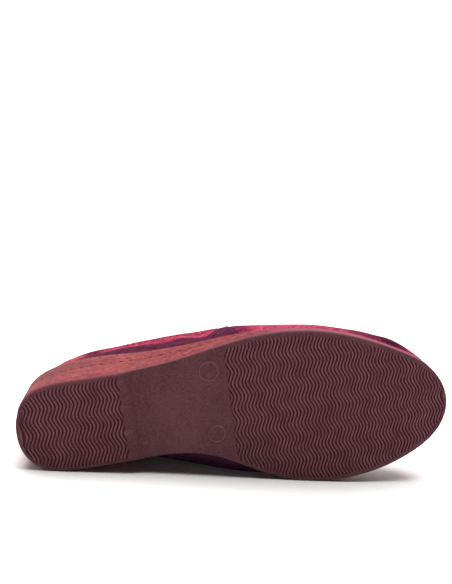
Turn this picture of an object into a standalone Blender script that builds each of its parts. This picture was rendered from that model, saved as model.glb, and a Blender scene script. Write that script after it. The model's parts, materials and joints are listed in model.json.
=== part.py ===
# Wedge slipper for a right foot, lying on its inner side.
# The pieces are modelled standing: X runs from heel to toe, Y to the inner side
# of the foot, Z up from the ground. The parent empty then lays the shoe down.
import math

import bmesh
import bpy
import numpy as np
from mathutils import Matrix, Vector

MM = 0.001
AROUND = 72             # points around each outline, shared by both sides


def table(columns, *rows):
    return dict(zip(columns.split(), np.array(rows).T))


# Driving dimensions in millimetres
LENGTH = 253.1          # heel to toe along the ground
GAP = 0.3               # clearance between pieces that meet
ROW_SLANT = 2.9         # how far the tread's rows lag on the outer side

OUTSOLE_THICKNESS = 4.5
OUTSOLE_EDGE_RADIUS = 1.8
OUTSOLE_EDGE_DEG = (0, 30, 60, 90)  # angles of the rings round that edge
HEEL_BREAST = 64.4      # front edge of the heel pad
BREAST_RUN = 2.2        # length over which the pad's front edge drops
FOREFOOT_START = 120.0  # rear edge of the forefoot pad
WAIST_HOLLOW = 1.5      # how far the waist is raised behind the heel pad
TOE_SPRING = 10.0
SPRING_START = 172.0

WEDGE_BASE_INSET = 0.8  # the outsole's edge stands out by this much
WEDGE_TOP_ROUND = 1.2
WEDGE_ROUND_MIDDLE = 0.3            # inset and drop half-way round it, as a share of it
WEDGE_SIDE_SHARES = (0.0, 0.34, 0.67, 1.0)  # rings up the side, from base to round

UPPER_WALL = 2.6
UPPER_INSET = 0.4       # from the wedge's side to the upper's outside
UPPER_RINGS = 13

INSOLE_INSET = 5.0
INSOLE_THICKNESS = 3.5
INSOLE_ROUND = 1.2
INSOLE_LEAN = 0.36      # how far the pad's side leans in below its round

# Sections of the ground outline, heel to toe
OUTLINE = table(
    "station half_width inner_shift",
    (0.0, 0.0, 1.0),
    (2.0, 11.3, 1.0),
    (10.0, 21.0, 1.4),
    (20.0, 24.7, 1.6),
    (40.0, 25.8, 0.6),
    (60.0, 25.8, -1.2),
    (80.0, 26.3, -3.6),
    (95.0, 27.9, -5.3),
    (110.0, 31.2, -5.9),
    (125.0, 36.0, -4.7),
    (140.0, 40.7, -2.6),
    (160.0, 44.1, 0.0),
    (175.0, 44.4, 1.6),
    (190.0, 42.4, 2.8),
    (205.0, 38.8, 4.0),
    (221.0, 33.0, 5.0),
    (237.0, 25.0, 5.5),
    (248.0, 14.8, 6.2),
    (253.1, 0.0, 6.5),
)

# Wedge: height over the outsole, and how far its top flares past its base
WEDGE = table(
    "station height inner_flare outer_flare",
    (0.0, 31.5, -2.0, -2.0),
    (8.0, 31.2, -1.7, -0.5),
    (20.0, 30.5, -1.5, 1.9),
    (38.0, 29.0, -0.6, 4.6),
    (57.0, 26.0, 2.6, 5.4),
    (72.0, 22.4, 6.8, 4.8),
    (90.0, 17.0, 10.4, 4.0),
    (106.0, 12.2, 10.6, 3.0),
    (124.0, 8.0, 7.0, 2.2),
    (142.0, 5.4, 1.4, 1.0),
    (165.0, 4.2, -0.3, 0.6),
    (210.0, 4.0, 0.0, 0.6),
    (253.1, 4.0, 0.4, 0.4),
)

# Collar loop and the curves that climb to it, by the share of the way from heel to toe:
# its station, its reach to either side, its height over the ground, the length of the
# curve's handle at the sole and at the collar, and the fall of the wall at the collar
COLLAR = table(
    "share station inner outer height rise reach fall_deg",
    (0.00, 10.0, 0.0, 0.0, 77.0, 14.0, 15.0, 74.0),
    (0.12, 14.5, 12.5, 11.5, 76.5, 14.0, 15.0, 76.0),
    (0.20, 26.5, 22.0, 21.0, 74.5, 14.0, 15.0, 80.0),
    (0.28, 46.0, 24.5, 27.7, 71.0, 14.0, 14.0, 83.0),
    (0.36, 70.0, 25.5, 32.4, 66.5, 15.0, 14.0, 84.0),
    (0.44, 96.0, 28.0, 36.8, 62.5, 17.0, 15.0, 82.0),
    (0.52, 118.0, 29.0, 38.6, 61.0, 19.0, 17.0, 70.0),
    (0.62, 135.0, 25.0, 32.5, 61.5, 22.0, 20.0, 52.0),
    (0.75, 145.5, 15.5, 19.5, 63.0, 27.0, 28.0, 36.0),
    (0.88, 150.0, 7.5, 9.0, 64.0, 27.0, 36.0, 27.0),
    (1.00, 151.5, 0.0, 0.0, 64.5, 25.0, 42.0, 24.0),
)

# Lean of the upper's wall where it leaves the sole, in degrees inwards
WALL_LEAN = table(
    "station inner outer",
    (0.0, 5.0, 5.0),
    (20.0, 2.5, 10.0),
    (45.0, 3.0, 7.0),
    (80.0, 4.0, 1.0),
    (110.0, 5.0, -1.0),
    (140.0, 1.0, -3.0),
    (175.0, -1.5, -7.0),
    (200.0, -1.0, -16.0),
    (220.0, -4.0, -23.0),
    (240.0, -6.0, -17.0),
    (253.1, -8.0, -8.0),
)

SHARP_ANGLE = math.radians(35)  # edges bent more than this are shaded as creases
SIDE_FACING = 0.8       # sideways part of the normal of a face that the shoe can lie on

# Density of each piece in kg per cubic metre, for the way the shoe comes to rest
DENSITY = {"outsole": 1100.0, "wedge": 350.0, "upper": 300.0, "insole": 250.0}

# Colour, roughness of each piece
FINISH = {
    "outsole": ((0.102, 0.042, 0.050, 1.0), 0.55),
    "wedge": ((0.350, 0.100, 0.100, 1.0), 0.70),
    "upper": ((0.420, 0.060, 0.120, 1.0), 0.90),
    "insole": ((0.300, 0.080, 0.120, 1.0), 0.90),
}


def spline(knots, values, at, level_ends):
    """Cubic curve through the values, level at its ends or else unbent there."""
    count = len(knots)
    step = np.diff(knots)
    rise = np.diff(values) / step
    matrix = np.zeros((count, count))
    target = np.zeros(count)
    for i in range(1, count - 1):
        matrix[i, i - 1:i + 2] = step[i - 1], 2 * (step[i - 1] + step[i]), step[i]
        target[i] = 6 * (rise[i] - rise[i - 1])
    if level_ends:
        matrix[0, :2] = 2 * step[0], step[0]
        target[0] = 6 * rise[0]
        matrix[-1, -2:] = step[-1], 2 * step[-1]
        target[-1] = -6 * rise[-1]
    else:
        matrix[0, 0] = 1
        matrix[-1, -1] = 1
    bend = np.linalg.solve(matrix, target)
    k = np.clip(np.searchsorted(knots, at) - 1, 0, count - 2)
    left = at - knots[k]
    right = knots[k + 1] - at
    cubic = (bend[k] * right ** 3 + bend[k + 1] * left ** 3) / (6 * step[k])
    start = (values[k] / step[k] - bend[k] * step[k] / 6) * right
    end = (values[k + 1] / step[k] - bend[k + 1] * step[k] / 6) * left
    return cubic + start + end


def turn_at(station):
    """Angle round the outline, 0 at the heel and pi at the toe."""
    share = np.clip(np.asarray(station) / LENGTH, 0, 1)
    return np.arccos(1 - 2 * share)


def by_station(rows, column, station, level_ends=True):
    return spline(turn_at(rows["station"]), rows[column], turn_at(station), level_ends)


def by_side(outer_side, outer, inner):
    """Outer values where the outline runs along the outer side, else inner ones."""
    return np.where(outer_side, outer, inner)


class Outline:
    """Closed ground outline: out along the outer side to the toe, back along the inner."""

    def __init__(self, turns):
        self.turns = turns
        self.outer = np.sin(turns) >= 0
        self.row = LENGTH / 2 * (1 - np.cos(turns))
        slant = ROW_SLANT * np.sin(turns) * np.abs(np.sin(turns))
        self.x = self.row - slant
        half = by_station(OUTLINE, "half_width", self.x, level_ends=False)
        shift = by_station(OUTLINE, "inner_shift", self.x)
        self.y = shift + by_side(self.outer, -half, half)
        along_x = np.roll(self.x, -1) - np.roll(self.x, 1)
        along_y = np.roll(self.y, -1) - np.roll(self.y, 1)
        size = np.hypot(along_x, along_y)
        self.normal = np.stack([along_y / size, -along_x / size], axis=1)

    def ring(self, offset, height):
        """Points moved out by an offset, at a height."""
        plan = np.stack([self.x, self.y], axis=1)
        plan = plan + self.normal * np.reshape(offset, (-1, 1))
        level = np.broadcast_to(height, self.x.shape)
        return np.column_stack([plan, level])


def even_turns():
    return np.arange(AROUND) * 2 * math.pi / AROUND


def breast_turns():
    """Even angles, with the two rows nearest the heel breast set on its edges."""
    half = even_turns()[:AROUND // 2 + 1]
    row = LENGTH / 2 * (1 - np.cos(half))
    before = np.searchsorted(row, HEEL_BREAST) - 1
    half[before] = turn_at(HEEL_BREAST)
    half[before + 1] = turn_at(HEEL_BREAST + BREAST_RUN)
    forefoot = np.argmin(np.abs(row - FOREFOOT_START))
    half[forefoot] = turn_at(FOREFOOT_START)
    return np.concatenate([half, 2 * math.pi - half[-2:0:-1]])


def toe_rise(row):
    run = np.clip((row - SPRING_START) / (LENGTH - SPRING_START), 0, None)
    return TOE_SPRING * run ** 2


def waist_rise(row):
    """Hollow of the waist: highest at the heel breast, gone at the forefoot pad."""
    run = (row - HEEL_BREAST - BREAST_RUN) / (FOREFOOT_START - HEEL_BREAST - BREAST_RUN)
    swell = WAIST_HOLLOW * (1 - np.clip(run, 0, 1) ** 2) ** 2
    return np.where(row > HEEL_BREAST + BREAST_RUN / 2, swell, 0.0)


def outsole_top(row):
    return OUTSOLE_THICKNESS + toe_rise(row)


def wedge_top(outline):
    return outsole_top(outline.row) + by_station(WEDGE, "height", outline.row)


def wedge_flare(outline):
    inner = by_station(WEDGE, "inner_flare", outline.row)
    outer = by_station(WEDGE, "outer_flare", outline.row)
    return by_side(outline.outer, outer, inner)


def across(count):
    """Faces that fill an outline, each joining a row's outer and inner points."""
    faces = [(0, 1, count - 1)]
    for i in range(1, count // 2 - 1):
        faces.append((i, i + 1, count - i - 1, count - i))
    toe = count // 2
    faces.append((toe - 1, toe, toe + 1))
    return faces


def loft(name, rings, capped):
    """Mesh through closed rings from the lowest up, filled across at both ends if capped."""
    rings = np.array(rings)
    levels, count, _ = rings.shape
    faces = []
    for level in range(levels - 1):
        low = level * count
        high = low + count
        for i in range(count):
            j = (i + 1) % count
            faces.append((low + i, low + j, high + j, high + i))
    if capped:
        faces += [tuple(reversed(face)) for face in across(count)]
        last = (levels - 1) * count
        faces += [tuple(last + i for i in face) for face in across(count)]
    mesh = bpy.data.meshes.new(name)
    mesh.from_pydata((rings.reshape(-1, 3) * MM).tolist(), [], faces)
    mesh.shade_smooth()
    mesh.set_sharp_from_angle(angle=SHARP_ANGLE)
    return mesh


def add_piece(name, mesh, collection, parent):
    piece = bpy.data.objects.new(name, mesh)
    collection.objects.link(piece)
    piece.parent = parent
    color, roughness = FINISH[name]
    material = bpy.data.materials.new(name)
    material.use_nodes = True
    shader = material.node_tree.nodes["Principled BSDF"]
    shader.inputs["Base Color"].default_value = color
    shader.inputs["Roughness"].default_value = roughness
    shader.inputs["Metallic"].default_value = 0.0
    mesh.materials.append(material)
    return piece


def outsole_mesh():
    """Sheet with a rounded lower edge, a stepped heel pad and a toe spring."""
    outline = Outline(breast_turns())
    ground = toe_rise(outline.row) + waist_rise(outline.row)
    top = outsole_top(outline.row)
    radius = OUTSOLE_EDGE_RADIUS
    rings = []
    for angle in np.radians(OUTSOLE_EDGE_DEG):
        inset = radius * (1 - math.sin(angle))
        lift = radius * (1 - math.cos(angle)) / OUTSOLE_THICKNESS
        rings.append(outline.ring(-inset, ground + lift * (top - ground)))
    rings.append(outline.ring(-WEDGE_BASE_INSET / 2, top))
    return loft("outsole", rings, capped=True)


def wedge_mesh():
    """Side that flares from the outsole's edge to the foot, with a rounded top edge."""
    outline = Outline(even_turns())
    bottom = outsole_top(outline.row) + GAP
    top = wedge_top(outline)
    flare = wedge_flare(outline)
    shoulder = 1 - WEDGE_TOP_ROUND / (top - bottom)
    rings = []
    for share in WEDGE_SIDE_SHARES:
        climb = share * shoulder
        offset = -WEDGE_BASE_INSET + (flare + WEDGE_BASE_INSET) * share
        rings.append(outline.ring(offset, bottom + climb * (top - bottom)))
    middle = WEDGE_ROUND_MIDDLE * WEDGE_TOP_ROUND
    rings.append(outline.ring(flare - middle, top - middle))
    rings.append(outline.ring(flare - WEDGE_TOP_ROUND, top))
    return loft("wedge", rings, capped=True)


def collar_column(column, shares):
    level = column not in ("inner", "outer")
    return spline(COLLAR["share"], COLLAR[column], shares, level)


def upper_mesh():
    """Outside of the upper: a curve climbs from each point of the sole to the collar."""
    outline = Outline(even_turns())
    shares = np.minimum(outline.turns, 2 * math.pi - outline.turns) / math.pi
    lean = np.radians(by_side(
        outline.outer,
        by_station(WALL_LEAN, "outer", outline.row),
        by_station(WALL_LEAN, "inner", outline.row)))
    tuck = UPPER_WALL * np.sin(np.clip(lean, 0, None))
    foot = outline.ring(wedge_flare(outline) - UPPER_INSET, wedge_top(outline) + GAP + tuck)
    reach_side = by_side(
        outline.outer, -collar_column("outer", shares), collar_column("inner", shares))
    shift = OUTLINE["inner_shift"][0]
    collar = np.column_stack([
        collar_column("station", shares),
        shift + reach_side,
        collar_column("height", shares),
    ])
    rise = collar_column("rise", shares)[:, None]
    inwards = -outline.normal * np.sin(lean)[:, None]
    lower = foot + rise * np.column_stack([inwards, np.cos(lean)])
    away = foot[:, :2] - collar[:, :2]
    away = away / np.linalg.norm(away, axis=1)[:, None]
    fall = np.radians(collar_column("fall_deg", shares))[:, None]
    reach = collar_column("reach", shares)[:, None]
    higher = collar + reach * np.column_stack([away * np.cos(fall), -np.sin(fall)])
    rings = []
    for v in np.linspace(0, 1, UPPER_RINGS):
        u = 1 - v
        rings.append(u ** 3 * foot + 3 * u * u * v * lower + 3 * u * v * v * higher + v ** 3 * collar)
    return loft("upper", rings, capped=False)


def insole_mesh():
    """Sock pad that fills the wedge's top inside the upper."""
    outline = Outline(even_turns())
    edge = wedge_flare(outline) - INSOLE_INSET
    low = wedge_top(outline) + GAP
    high = low + INSOLE_THICKNESS
    rings = [
        outline.ring(edge, low),
        outline.ring(edge - INSOLE_LEAN, high - INSOLE_ROUND),
        outline.ring(edge - INSOLE_ROUND, high),
    ]
    return loft("insole", rings, capped=True)


def volume_and_moment(mesh):
    """Volume of a closed mesh and its first moment, summed over its triangles."""
    work = bmesh.new()
    work.from_mesh(mesh)
    bmesh.ops.triangulate(work, faces=work.faces[:])
    volume = 0.0
    moment = Vector()
    for face in work.faces:
        a, b, c = (vert.co for vert in face.verts)
        part = a.dot(b.cross(c)) / 6
        volume += part
        moment += part * (a + b + c) / 4
    work.free()
    return volume, moment


def lies_over(face, point):
    """True if the point projects into the face along the face's normal."""
    corners = [vert.co for vert in face.verts]
    for a, b in zip(corners, corners[1:] + corners[:1]):
        if (b - a).cross(point - a).dot(face.normal) < 0:
            return False
    return True


def resting_pose(pieces):
    """Pose that lays the shoe on the inner-side face of its hull, under its weight."""
    graph = bpy.context.evaluated_depsgraph_get()
    hull = bmesh.new()
    mass = 0.0
    moment = Vector()
    for piece in pieces:
        mesh = piece.evaluated_get(graph).to_mesh()
        for vert in mesh.vertices:
            hull.verts.new(vert.co)
        volume, first = volume_and_moment(mesh)
        mass += DENSITY[piece.name] * volume
        moment += DENSITY[piece.name] * first
        piece.evaluated_get(graph).to_mesh_clear()
    points = [vert.co.copy() for vert in hull.verts]
    bmesh.ops.convex_hull(hull, input=hull.verts[:], use_existing_faces=False)
    hull.normal_update()
    centre = moment / mass
    under = [face for face in hull.faces if face.normal.y > SIDE_FACING and lies_over(face, centre)]
    down = max(under, key=lambda face: face.normal.y).normal.copy()
    hull.free()
    up = -down
    toe = Vector((1, 0, 0))
    toe = (toe - toe.dot(up) * up).normalized()
    turn = Matrix((toe, up.cross(toe), up))
    laid = np.array([turn @ point for point in points])
    low = laid.min(axis=0)
    high = laid.max(axis=0)
    shift = Vector((-(low[0] + high[0]) / 2, -(low[1] + high[1]) / 2, -low[2]))
    return Matrix.Translation(shift) @ turn.to_4x4()


def build():
    for item in list(bpy.data.objects):
        bpy.data.objects.remove(item, do_unlink=True)
    collection = bpy.data.collections.new("wedge_slipper")
    bpy.context.scene.collection.children.link(collection)
    pose = bpy.data.objects.new("slipper_pose", None)
    collection.objects.link(pose)

    outsole = add_piece("outsole", outsole_mesh(), collection, pose)
    wedge = add_piece("wedge", wedge_mesh(), collection, pose)
    upper = add_piece("upper", upper_mesh(), collection, pose)
    wall = upper.modifiers.new("wall", "SOLIDIFY")
    wall.thickness = UPPER_WALL * MM
    wall.offset = -1.0
    wall.use_even_offset = True
    insole = add_piece("insole", insole_mesh(), collection, pose)

    bpy.context.view_layer.update()
    pose.matrix_world = resting_pose([outsole, wedge, upper, insole])


build()
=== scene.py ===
import json
import bmesh
import bpy
import numpy as np
from mathutils import Matrix


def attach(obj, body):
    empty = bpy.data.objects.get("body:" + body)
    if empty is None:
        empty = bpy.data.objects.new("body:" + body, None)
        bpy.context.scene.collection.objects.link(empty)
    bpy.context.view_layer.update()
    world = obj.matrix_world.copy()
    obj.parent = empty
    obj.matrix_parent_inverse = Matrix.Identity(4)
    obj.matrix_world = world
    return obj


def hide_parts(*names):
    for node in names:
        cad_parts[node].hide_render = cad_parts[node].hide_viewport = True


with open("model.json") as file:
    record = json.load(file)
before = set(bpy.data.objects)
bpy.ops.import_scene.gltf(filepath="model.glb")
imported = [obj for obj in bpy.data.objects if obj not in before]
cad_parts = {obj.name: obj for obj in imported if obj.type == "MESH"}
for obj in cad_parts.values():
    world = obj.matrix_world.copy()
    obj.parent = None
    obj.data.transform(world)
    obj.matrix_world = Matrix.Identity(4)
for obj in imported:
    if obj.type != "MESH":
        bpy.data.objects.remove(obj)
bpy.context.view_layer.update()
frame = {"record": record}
mm = 0.001


# rows of numbers, kept as named columns
def listed(names, *rows):
    return dict(zip(names.split(), np.array(rows, float).T))


# The last that all pieces share, in millimetres: x from heel to toe, y to the inner side, z up
last = {
    "length": 253.1, "soleThick": 4.5, "gap": 0.3,  # the gap is left between pieces
    "rowSlant": 2.9,  # at mid-length a row's outer end lies this far back, and its inner end as far ahead
    "toeSpring": 10.0, "springStart": 172.0, "heelPadAt": 30.0,  # rise of the toe; the heel mount's station
}
groundOutline = listed(
    "station half shift",
    (0.0, 0.0, 1.0), (2.0, 11.3, 1.0), (10.0, 21.0, 1.4), (20.0, 24.7, 1.6), (40.0, 25.8, 0.6),
    (60.0, 25.8, -1.2), (80.0, 26.3, -3.6), (95.0, 27.9, -5.3), (110.0, 31.2, -5.9),
    (125.0, 36.0, -4.7), (140.0, 40.7, -2.6), (160.0, 44.1, 0.0), (175.0, 44.4, 1.6),
    (190.0, 42.4, 2.8), (205.0, 38.8, 4.0), (221.0, 33.0, 5.0), (237.0, 25.0, 5.5),
    (248.0, 14.8, 6.2), (253.1, 0.0, 6.5),
)
wedgeShape = listed(  # height over the outsole, and how far the top stands out past the base
    "station height inner outer",
    (0.0, 31.5, -2.0, -2.0), (8.0, 31.2, -1.7, -0.5), (20.0, 30.5, -1.5, 1.9), (38.0, 29.0, -0.6, 4.6),
    (57.0, 26.0, 2.6, 5.4), (72.0, 22.4, 6.8, 4.8), (90.0, 17.0, 10.4, 4.0), (106.0, 12.2, 10.6, 3.0),
    (124.0, 8.0, 7.0, 2.2), (142.0, 5.4, 1.4, 1.0), (165.0, 4.2, -0.3, 0.6), (210.0, 4.0, 0.0, 0.6),
    (253.1, 4.0, 0.4, 0.4),
)


# a cubic spline through the values, level at both ends or else unbent there
def curveThrough(knots, values, at, level=True):
    at = np.asarray(at, float)
    step = np.diff(knots)
    rise = np.diff(values) / step
    size = len(knots)
    matrix = np.zeros((size, size))
    target = np.zeros(size)
    mid = np.arange(1, size - 1)
    matrix[mid, mid - 1] = step[:-1]
    matrix[mid, mid] = 2 * (step[:-1] + step[1:])
    matrix[mid, mid + 1] = step[1:]
    target[mid] = 6 * np.diff(rise)
    if level:
        matrix[0, :2] = 2 * step[0], step[0]
        matrix[-1, -2:] = step[-1], 2 * step[-1]
        target[0], target[-1] = 6 * rise[0], -6 * rise[-1]
    else:
        matrix[0, 0] = matrix[-1, -1] = 1
    bend = np.linalg.solve(matrix, target)
    k = np.clip(np.searchsorted(knots, at) - 1, 0, size - 2)
    left, right = at - knots[k], knots[k + 1] - at
    cubic = (bend[k] * right ** 3 + bend[k + 1] * left ** 3) / (6 * step[k])
    start = (values[k] / step[k] - bend[k] * step[k] / 6) * right
    end = (values[k + 1] / step[k] - bend[k + 1] * step[k] / 6) * left
    return cubic + start + end


# eases from 0 to 1 between two values: three times the square of the way, less twice its cube
def smooth(value, low, high):
    t = np.clip((value - low) / (high - low), 0, 1)
    return t * t * (3 - 2 * t)


def unit(vectors):
    return vectors / np.linalg.norm(vectors, axis=-1, keepdims=True)


# length run along the first axis of some points
def runLength(points):
    steps = np.linalg.norm(np.diff(points, axis=0), axis=-1)
    return np.concatenate([0 * steps[:1], np.cumsum(steps, 0)])


# angle round the outline, 0 at the heel and pi at the toe, and the station of the row at an angle
def turnAt(station):
    return np.arccos(1 - 2 * np.clip(np.asarray(station) / last["length"], 0, 1))


def rowAt(turns):
    return last["length"] / 2 * (1 - np.cos(turns))


# 0 half-way along the inner side, 1 half-way along the outer side
def outerShare(turns):
    return 0.5 + 0.5 * np.sin(turns)


def byStation(rows, name, station, level=True):
    return curveThrough(turnAt(rows["station"]), rows[name], turnAt(station), level)


# the outer column on the outer side of an outline, and the inner column on the other
def bySide(rows, outline):
    outer, inner = (byStation(rows, name, outline["row"]) for name in ("outer", "inner"))
    return np.where(outline["outer"], outer, inner)


# the ground outline runs out along the outer side to the toe and back along the inner side
def planAt(turns):
    x = rowAt(turns) - last["rowSlant"] * np.sin(turns) * np.abs(np.sin(turns))
    side = np.where(np.sin(turns) >= 0, -1.0, 1.0)
    half = byStation(groundOutline, "half", x, False)
    return np.stack([x, byStation(groundOutline, "shift", x) + side * half], -1)


# places round the ground outline, with their rows, sides and outward normals
def outlineAt(turns):
    nudge = 1e-3  # radians to each side, for the outline's direction
    along = planAt(turns + nudge) - planAt(turns - nudge)
    return {
        "turns": turns, "row": rowAt(turns), "outer": np.sin(turns) >= 0, "plan": planAt(turns),
        "normal": unit(np.stack([along[..., 1], -along[..., 0]], -1)),
    }


# the outline moved out by an offset and lifted to a height
def ringAt(outline, offset, height):
    plan = outline["plan"] + outline["normal"] * np.asarray(offset, float)[..., None]
    return np.concatenate([plan, np.broadcast_to(height, plan.shape[:-1])[..., None]], -1)


# the toe springs up with the square of the way past its start
def toeRise(row):
    run = np.clip((row - last["springStart"]) / (last["length"] - last["springStart"]), 0, None)
    return last["toeSpring"] * run ** 2


def soleTop(row):
    return last["soleThick"] + toeRise(row)


def wedgeTop(outline):
    return soleTop(outline["row"]) + byStation(wedgeShape, "height", outline["row"])


# The shoe lies on its inner side; its axes in the frame come from the two pads under the sole
mounts = {mount["name"]: mount for mount in frame["record"]["mounts"]}
heelPad = np.array(mounts["heel_pad"]["pos_m"])
toeAxis = unit(np.array(mounts["forefoot_pad"]["pos_m"]) - heelPad)
upAxis = -unit(np.array(mounts["heel_pad"]["axis"]))
shoeAxes = np.stack([toeAxis, np.cross(upAxis, toeAxis), upAxis])
heelPoint = heelPad - last["heelPadAt"] * mm * toeAxis


# shoe millimetres to metres in the frame
def place(points):
    return heelPoint + mm * (points @ shoeAxes)


# quads between neighbours in a grid of points, closed round its columns or rows where asked
def gridFaces(rows, cols, wrapCols=False, wrapRows=False):
    index = np.arange(rows * cols).reshape(rows, cols)
    if wrapCols:
        index = np.concatenate([index, index[:, :1]], 1)
    if wrapRows:
        index = np.concatenate([index, index[:1]], 0)
    return np.stack([index[:-1, :-1], index[:-1, 1:], index[1:, 1:], index[1:, :-1]], -1).reshape(-1, 4)


# quads that join each outer point of a closed ring to the inner point of the same row
def acrossFaces(count, first):
    k = np.arange(count // 2)
    return first + np.stack([k, k + 1, (count - k - 1) % count, (count - k) % count], -1)


welding = {"points": 1e-6, "edges": 1e-7}  # metres: what lies closer is merged, and what is shorter dissolved


# one mesh from points and quads in shoe millimetres, with point values, welded and facing outwards
def addPiece(name, points, faces, materials, sharp, values=None, second=None):
    mesh = bpy.data.meshes.new(name)
    mesh.from_pydata(place(points.reshape(-1, 3)).tolist(), [], faces.tolist())
    for key, amounts in (values or {}).items():
        stored = mesh.attributes.new(key, "FLOAT", "POINT")
        stored.data.foreach_set("value", amounts.ravel().astype(np.float32))
    for material in materials:
        mesh.materials.append(material)
    if second is not None:
        mesh.polygons.foreach_set("material_index", second.astype(np.int32))
    work = bmesh.new()
    work.from_mesh(mesh)
    bmesh.ops.remove_doubles(work, verts=work.verts, dist=welding["points"])
    bmesh.ops.dissolve_degenerate(work, edges=work.edges, dist=welding["edges"])
    bmesh.ops.recalc_face_normals(work, faces=work.faces)
    work.to_mesh(mesh)
    work.free()
    mesh.shade_smooth()
    mesh.set_sharp_from_angle(angle=np.radians(sharp))
    piece = bpy.data.objects.new(name, mesh)
    bpy.context.scene.collection.objects.link(piece)
    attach(piece, "root")
    print(name, len(mesh.polygons), "faces")
    return piece


# an sRGB hex colour as linear red, green, blue, alpha
def linear(hexColour):
    srgb = np.array([int(hexColour[i:i + 2], 16) for i in (0, 2, 4)]) / 255
    return tuple(np.where(srgb <= 0.04045, srgb / 12.92, ((srgb + 0.055) / 1.055) ** 2.4)) + (1.0,)


# sets a node's properties and sockets by name or number, and links outputs into its sockets
def setUp(tree, made, settings=None, links=None):
    for key, value in (settings or {}).items():
        if not isinstance(key, int) and hasattr(made, key):
            setattr(made, key, value)
        else:
            made.inputs[key].default_value = value
    for key, output in (links or {}).items():
        tree.links.new(output, made.inputs[key])
    return made


# adds a node; by number, a Mix has its factor at 0 and its colours at 6 and 7, and a Map Range has its
# value at 0, the ends it comes from at 1 and 2, and the ends it goes to at 3 and 4
def node(tree, kind, settings=None, links=None):
    return setUp(tree, tree.nodes.new(kind), settings, links)


def newMaterial(name):
    material = bpy.data.materials.new(name)
    material.use_nodes = True
    return material, material.node_tree, material.node_tree.nodes["Principled BSDF"]


# Moulded rubber of the outsole: matte, slightly bloomed on the ridge tops, darker and redder in the grooves
def mouldedRubber():
    material, tree, shader = newMaterial("moulded_rubber")
    onPiece = {"Vector": node(tree, "ShaderNodeTexCoord").outputs["Object"]}
    cloud = node(tree, "ShaderNodeTexNoise", {"Scale": 1 / (22 * mm), "Detail": 4.0}, onPiece)
    # grain and dust are drawn coarser than the real ones, so that they show
    grain = node(tree, "ShaderNodeTexNoise", {"Scale": 1 / (1.1 * mm), "Detail": 3.0}, onPiece)
    dust = node(tree, "ShaderNodeTexNoise", {"Scale": 1 / (1.3 * mm), "Detail": 1.0}, onPiece)
    wear = node(tree, "ShaderNodeTexNoise", {"Scale": 1 / (9 * mm), "Detail": 4.0, "Roughness": 0.65},
                onPiece)
    mottle = node(tree, "ShaderNodeMath", {"operation": "MULTIPLY_ADD", 1: 2.0},
                  {0: grain.outputs[0], 2: cloud.outputs[0]})
    tone = node(tree, "ShaderNodeMapRange", {1: 1.1, 2: 1.9}, {0: mottle.outputs[0]})
    colour = node(tree, "ShaderNodeMix", {"data_type": "RGBA", 6: linear("533338"), 7: linear("674349")},
                  {0: tone.outputs[0]})
    for key, shade, least in (("ridge", "7C535A", 0.35), ("groove", "56222E", 0.75), ("rim", "65343A", 1.0)):
        where = node(tree, "ShaderNodeAttribute", {"attribute_name": key})
        uneven = node(tree, "ShaderNodeMapRange", {1: 0.35, 2: 0.65, 3: least, 4: 1.0}, {0: wear.outputs[0]})
        amount = node(tree, "ShaderNodeMath", {"operation": "MULTIPLY"},
                      {0: where.outputs["Fac"], 1: uneven.outputs[0]})
        colour = node(tree, "ShaderNodeMix", {"data_type": "RGBA", 7: linear(shade)},
                      {0: amount.outputs[0], 6: colour.outputs[2]})
    speckAmount = node(tree, "ShaderNodeMapRange", {1: 0.77, 2: 0.8, 3: 0.0, 4: 0.5}, {0: dust.outputs[0]})
    speck = node(tree, "ShaderNodeMix", {"data_type": "RGBA", 7: linear("A88C8C")},
                 {0: speckAmount.outputs[0], 6: colour.outputs[2]})
    gloss = node(tree, "ShaderNodeMapRange", {3: 0.5, 4: 0.68}, {0: grain.outputs[0]})
    bump = node(tree, "ShaderNodeBump", {"Strength": 0.12, "Distance": 0.2 * mm},
                {"Height": grain.outputs[0]})
    setUp(tree, shader, {"Specular IOR Level": 0.04},
          {"Base Color": speck.outputs[2], "Roughness": gloss.outputs[0], "Normal": bump.outputs[0]})
    return material


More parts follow.
